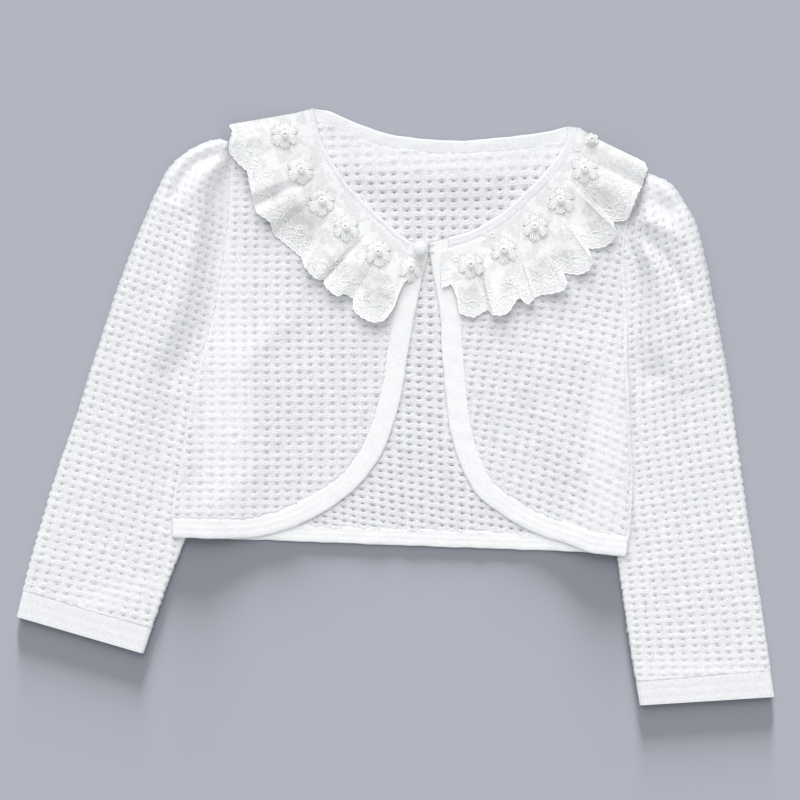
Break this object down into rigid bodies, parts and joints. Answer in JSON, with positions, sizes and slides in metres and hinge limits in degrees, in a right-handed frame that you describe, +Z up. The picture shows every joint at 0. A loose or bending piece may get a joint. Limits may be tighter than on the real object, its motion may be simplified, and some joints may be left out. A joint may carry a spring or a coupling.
{
  "type": "cardigan",
  "caption": "Child's cropped knit cardigan laid flat, with puffed long sleeves, rounded fronts, a pearl button at the neck and a lace ruffle collar with daisies and pearls.",
  "frame": {"origin": "on the surface the garment lies on, under the middle of its bounding box", "axes": "+Z up from the surface, +Y towards the neck, +X towards the wearer's left sleeve"},
  "size_m": [0.492, 0.387, 0.0162],
  "materials": {
    "knit": "white openwork knit, matt",
    "jersey": "white plain knit bands, matt",
    "lace": "white embroidered net, matt with a faint thread sheen",
    "pearl": "pearl white, glossy"
  },
  "bodies": {
    "root": {"back_panel": "knit", "front_panel_right": "knit", "front_panel_left": "knit", "sleeve_right": "knit", "sleeve_left": "knit", "neck_binding_right": "jersey", "neck_binding_left": "jersey", "neck_binding_back": "jersey", "front_band_right": "jersey", "front_band_left": "jersey", "back_hem_band": "jersey", "cuff_band_right": "jersey", "cuff_band_left": "jersey", "button_loop": "jersey", "collar_ruffle_right": "lace", "collar_ruffle_left": "lace", "collar_ruffle_back": "lace", "daisy_right_1": "lace", "daisy_right_2": "lace", "daisy_right_3": "lace", "daisy_right_4": "lace", "daisy_right_5": "lace", "daisy_right_6": "lace", "daisy_left_1": "lace", "daisy_left_2": "lace", "daisy_left_3": "lace", "daisy_left_4": "lace", "daisy_left_5": "lace", "daisy_left_6": "lace", "pearl_right_1": "pearl", "pearl_right_2": "pearl", "pearl_right_3": "pearl", "pearl_right_4": "pearl", "pearl_right_5": "pearl", "pearl_right_6": "pearl", "pearl_left_1": "pearl", "pearl_left_2": "pearl", "pearl_left_3": "pearl", "pearl_left_4": "pearl", "pearl_left_5": "pearl", "pearl_left_6": "pearl", "button": "pearl"}
  },
  "joints": []
}
